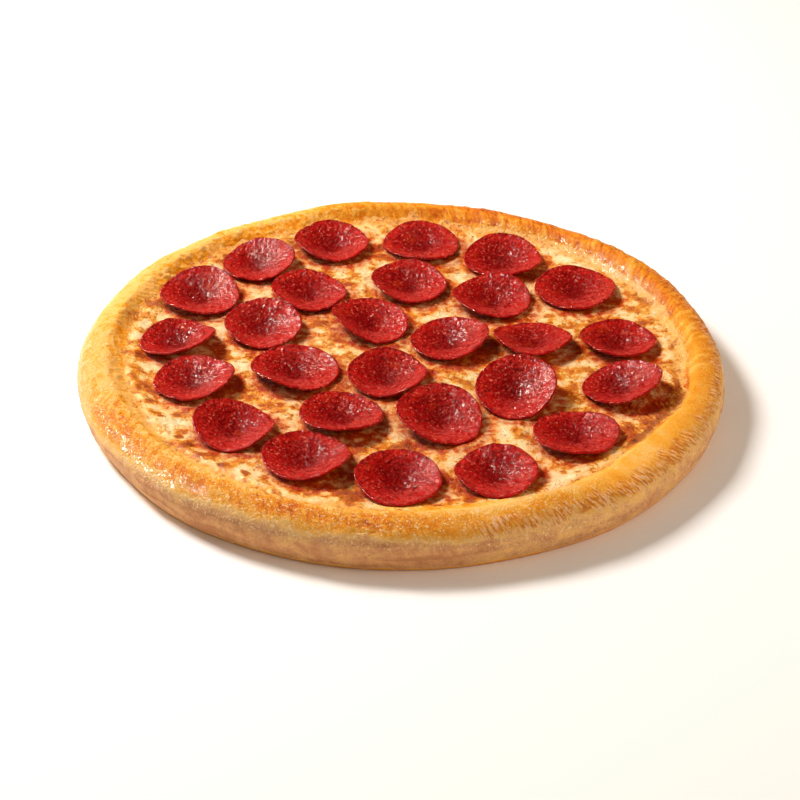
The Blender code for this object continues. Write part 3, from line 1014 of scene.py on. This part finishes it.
def crust_material():
    """Baked dough: pale at the side, golden and glossy on top, finely grained, with painted glints
    and painted highlights and shade on the pleats.
    """
    nodes = Nodes("crust_skin")
    bake, grain, streak = nodes.value("bake"), nodes.value("grain"), nodes.value("streak")
    streaks = nodes.sum(
        (nodes.strokes(2.2, 7.0, 3, 0.6), 0.75, 0.5),
        (nodes.strokes(7.0, 3.0, 3, 0.6), 0.45, 0.5),
    )
    fine = nodes.noise(1.1, 4, 0.7)
    streaks = nodes.sum(streaks, (fine, 0.50, 0.5))
    level = nodes.sum(bake, nodes.times(streaks, streak), (fine, 0.25, 0.5))
    level = nodes.math("MAXIMUM", level, nodes.value("least"))
    colour = nodes.ramp(
        level,
        (0.0, (196, 132, 84)),
        (0.10, (222, 162, 108)),
        (0.22, (247, 196, 118)),
        (0.36, (244, 172, 60)),
        (0.54, (232, 142, 22)),
        (0.76, (212, 104, 14)),
        (1.0, (130, 52, 8)),
    )
    freckles = nodes.between(nodes.noise(1.6, 2, 0.6), 0.66, 0.74)
    patchy = nodes.between(nodes.noise(22.0, 1), 0.48, 0.62)
    freckles = nodes.times(nodes.times(freckles, patchy), 0.5)
    colour = nodes.mix(freckles, colour, (176, 92, 20))
    # Pale specks where the skin is grainy: painted glints
    painted_glints = nodes.between(nodes.noise(1.0, 2, 0.6), 0.56, 0.68)
    painted_glints = nodes.times(painted_glints, nodes.between(grain, 0.4, 1.0, 0.0, 0.85))
    colour = nodes.mix(painted_glints, colour, (255, 226, 172))
    # Painted highlights on pale tips, and painted shade in the orange-brown gaps between them
    pleat_highlights_and_shade, bristles = nodes.value("pleat_highlights_and_shade"), nodes.strokes(1.0, 3.4, 2, 0.5)
    gaps = nodes.times(pleat_highlights_and_shade, nodes.between(bristles, 0.42, 0.50, 0.75, 0.0))
    colour = nodes.mix(gaps, colour, (206, 112, 46))
    highlight_tips = nodes.times(pleat_highlights_and_shade, nodes.between(bristles, 0.53, 0.60, 0.0, 0.8))
    colour = nodes.mix(highlight_tips, colour, (252, 202, 160))
    rough = nodes.sum((nodes.pebbles(1.3), 0.35, 0.5), (nodes.noise(0.9, 3, 0.65), 0.9, 0.5))
    soft = nodes.sum(
        (nodes.strokes(1.8, 6.0, 3, 0.6), 0.45, 0.5),
        (nodes.noise(2.6, 3, 0.6), 0.20, 0.5),
    )
    height = nodes.sum(nodes.times(rough, grain), nodes.times(soft, streak))
    gloss = nodes.sum((nodes.noise(1.2, 2, 0.6), 0.35, 0.5), (nodes.noise(3.0, 2), 0.4, 0.5))
    broken = nodes.between(nodes.noise(1.9, 3, 0.6), 0.48, 0.58, 0.05, 1.0)
    nodes.set(
        Base_Color=colour,
        Roughness=nodes.between(nodes.noise(2.2, 2), 0.3, 0.7, 0.42, 0.6),
        Specular_IOR_Level=0.1,
        Normal=nodes.bump(height),
        Coat_Normal=nodes.bump(gloss),
        Coat_Weight=nodes.times(broken, nodes.value("glaze")),
        Coat_Roughness=0.08,
        Subsurface_Weight=0.1,
        Subsurface_Radius=(1.0, 0.4, 0.15),
        Subsurface_Scale=1.5 * MM,
    )
    return nodes.material


def cheese_material():
    """Melted cheese: cream islands in a golden film, with browned flakes, and fat stains round the
    slices that grow darker and redder toward their front right as painted shadow.
    """
    nodes = Nodes("cheese_melt")
    brown, stain_and_shadow, rim = nodes.value("brown"), nodes.value("stain_and_shadow"), nodes.value("rim")
    film = nodes.sum(
        brown,
        (nodes.noise(8.0, 5, 0.6), 2.2, 0.5),
        (nodes.noise(1.5, 4, 0.7), 0.5, 0.5),
    )
    colour = nodes.ramp(
        film,
        (0.0, (254, 228, 176)),
        (0.30, (253, 210, 138)),
        (0.38, (241, 168, 54)),
        (0.56, (220, 122, 20)),
        (0.76, (172, 76, 8)),
        (0.98, (88, 34, 8)),
    )
    golden = nodes.sum((nodes.noise(3.0, 4, 0.6), 1.2, 0.1), (nodes.noise(1.1, 3, 0.7), 0.5, 0.5))
    golden = nodes.ramp(
        golden,
        (0.2, (250, 196, 116)),
        (0.5, (244, 168, 70)),
        (0.8, (224, 128, 36)),
    )
    colour = nodes.mix(rim, colour, golden)
    flakes = nodes.sum((film, 0.22, 0.35), nodes.noise(2.4, 5, 0.7))
    flakes = nodes.between(flakes, 0.55, 0.61, 0.0, 0.75)
    colour = nodes.mix(flakes, colour, (186, 86, 20))
    specks = nodes.between(nodes.noise(1.2, 2, 0.55), 0.64, 0.70)
    cluster = nodes.between(nodes.noise(9.0, 2), 0.46, 0.58)
    specks = nodes.times(nodes.times(specks, cluster), 0.85)
    colour = nodes.mix(specks, colour, (122, 56, 14))
    # The stain round the slices is partly fat and partly painted shadow: it is shifted to the side
    # where their shadows fall, and it is darkest and reddest close to them
    spread = nodes.times(stain_and_shadow, nodes.between(nodes.noise(4.0, 3), 0.3, 0.65, 0.35, 1.0))
    colour = nodes.mix(spread, colour, (244, 168, 92), "MULTIPLY")
    close_stain_and_shadow = nodes.times(spread, nodes.between(stain_and_shadow, 0.65, 1.0, 0.0, 0.85))
    colour = nodes.mix(close_stain_and_shadow, colour, (176, 40, 0))
    height = nodes.sum(
        (nodes.noise(3.0, 5, 0.65), 1.3, 0.5),
        (nodes.noise(1.1, 3, 0.65), 0.45, 0.5),
        (flakes, 0.15, 0.0),
    )
    gloss = nodes.sum((nodes.noise(2.4, 3, 0.6), 0.9, 0.5))
    nodes.set(
        Base_Color=colour,
        Roughness=nodes.between(nodes.noise(3.5, 3), 0.35, 0.65, 0.26, 0.5),
        Specular_IOR_Level=0.3,
        Normal=nodes.bump(height),
        Coat_Normal=nodes.bump(gloss),
        Coat_Weight=0.2,
        Coat_Roughness=0.12,
        Subsurface_Weight=0.15,
        Subsurface_Radius=(1.0, 0.35, 0.12),
        Subsurface_Scale=3.0 * MM,
    )
    return nodes.material


def pepperoni_material():
    """Cured sausage: deep red in the cup and rosier round it, with painted shade on the back wall
    of the cup and a pinker painted sheen on its front right, flecked with fat, pebbled and oily,
    with a dark edge."""
    nodes = Nodes("pepperoni_skin")
    share = nodes.value("share")
    fine = nodes.noise(1.1, 4, 0.75)
    uneven = nodes.sum(share, (nodes.noise(6.0, 3, 0.6), 0.5, 0.5), (fine, 0.9, 0.5))
    colour = nodes.ramp(
        nodes.times(uneven, 0.5),
        (0.05, (120, 0, 0)),
        (0.20, (152, 2, 2)),
        (0.34, (178, 8, 4)),
        (0.46, (198, 28, 18)),
        (0.52, (136, 4, 8)),
        (0.60, (184, 10, 10)),
        (0.90, (176, 6, 6)),
    )
    pits = nodes.between(nodes.noise(1.9, 3, 0.65), 0.34, 0.50, 0.8, 0.0)
    colour = nodes.mix(pits, colour, (98, 0, 2))
    gaps = nodes.between(nodes.pebbles(2.0), 0.45, 0.75, 0.35, 0.0)
    colour = nodes.mix(gaps, colour, (90, 0, 0))
    # Painted sheen, in blotches, on the front right of each cup
    blotches = nodes.between(nodes.noise(2.6, 3, 0.6), 0.36, 0.6)
    painted_sheen = nodes.times(nodes.value("painted_sheen"), blotches)
    colour = nodes.mix(painted_sheen, colour, (196, 66, 58))
    # Painted shade: a darker red on the back wall of the cup
    painted_shade = nodes.times(nodes.value("painted_shade"), nodes.between(fine, 0.3, 0.6, 1.0, 0.6))
    colour = nodes.mix(painted_shade, colour, (104, 0, 0))
    flecks = nodes.between(nodes.noise(1.3, 3, 0.6), 0.56, 0.66)
    patchy = nodes.between(nodes.noise(4.5, 2), 0.38, 0.60, 0.3, 1.0)
    outer = nodes.times(patchy, nodes.between(share, 0.1, 0.8, 0.35, 0.9))
    colour = nodes.mix(nodes.times(flecks, outer), colour, (226, 104, 84))
    fat = nodes.between(nodes.noise(1.9, 2, 0.6), 0.68, 0.75, 0.0, 0.5)
    colour = nodes.mix(fat, colour, (236, 140, 120))
    oily = nodes.between(nodes.noise(9.0, 2), 0.60, 0.70, 0.0, 0.35)
    colour = nodes.mix(oily, colour, (196, 48, 8))
    height = nodes.sum(
        (nodes.pebbles(1.7), 0.45, 0.5),
        (nodes.noise(1.3, 3, 0.6), 0.50, 0.5),
    )
    gloss = nodes.sum((nodes.noise(1.6, 2, 0.6), 0.75, 0.5), (nodes.noise(3.4, 2), 0.8, 0.5))
    broken = nodes.between(nodes.noise(1.7, 3, 0.6), 0.42, 0.54, 0.12, 0.9)
    nodes.set(
        Base_Color=colour,
        Roughness=0.6,
        Specular_IOR_Level=0.05,
        Normal=nodes.bump(height),
        Coat_Normal=nodes.bump(gloss),
        Coat_Weight=broken,
        Coat_Roughness=0.06,
    )
    return nodes.material


def make_camera():
    """A camera at the photo's viewing angle."""
    elevation, roll = math.radians(CAMERA_ELEVATION), math.radians(CAMERA_ROLL)
    back = Vector((0, -math.cos(elevation), math.sin(elevation)))
    level = Vector((1, 0, 0))
    rise = back.cross(level)
    right = level * math.cos(roll) + rise * math.sin(roll)
    up = rise * math.cos(roll) - level * math.sin(roll)
    camera = bpy.data.objects.new("camera", bpy.data.cameras.new("camera"))
    camera.data.lens = CAMERA_LENS
    camera.data.sensor_width = SENSOR_WIDTH
    matrix = Matrix((right, up, back)).transposed().to_4x4()
    matrix.translation = (Vector(CAMERA_AIM) + back * CAMERA_DISTANCE) * MM
    camera.matrix_world = matrix
    bpy.context.scene.collection.objects.link(camera)
    bpy.context.scene.camera = camera


def make_light(name, azimuth, elevation, distance, size, power, colour, glints):
    """A soft panel that faces the pizza. One that glints shows only in the gloss of the surfaces,
    and the others only light them."""
    around, above = math.radians(azimuth), math.radians(elevation)
    flat = math.cos(above)
    toward = Vector((math.cos(around) * flat, math.sin(around) * flat, math.sin(above)))
    light = bpy.data.lights.new(name, "AREA")
    light.shape = "RECTANGLE"
    light.size, light.size_y = size[0] * MM, size[1] * MM
    light.energy = power
    light.color = colour
    lamp = bpy.data.objects.new(name, light)
    lamp.location = toward * (distance * MM)
    lamp.rotation_mode = "QUATERNION"
    lamp.rotation_quaternion = toward.to_track_quat("Z", "Y")
    lamp.visible_glossy = glints
    lamp.visible_diffuse = not glints
    bpy.context.scene.collection.objects.link(lamp)


def make_stage():
    """A pale floor, soft light and an even pale surrounding."""
    nodes = Nodes("floor")
    nodes.set(Base_Color=FLOOR_COLOUR, Roughness=0.9)
    corners = ((-1, -1), (1, -1), (1, 1), (-1, 1))
    points = np.array([(x * FLOOR_HALF, y * FLOOR_HALF, 0) for x, y in corners])
    floor = add_piece("floor", points, [(0, 1, 2, 3)], nodes.material)
    floor.location.z = -FLOOR_DROP * MM
    for light in LIGHTS:
        make_light(*light)
    world = bpy.data.worlds.new("surrounding")
    world.use_nodes = True
    background = world.node_tree.nodes["Background"]
    background.inputs["Color"].default_value = SURROUNDING_COLOUR
    background.inputs["Strength"].default_value = SURROUNDING_STRENGTH
    world.cycles_visibility.glossy = False
    bpy.context.scene.world = world
    bpy.context.scene.view_settings.view_transform = "Standard"


def main():
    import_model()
    origin = np.array((*outline_middle(), 0.0))
    make_crust(crust_material(), origin)
    make_cheese(cheese_material(), origin)
    pepperoni = pepperoni_material()
    for number, row in enumerate(SLICES, start=1):
        make_slice(number, row, pepperoni, origin)
    make_stage()
    make_camera()


main()
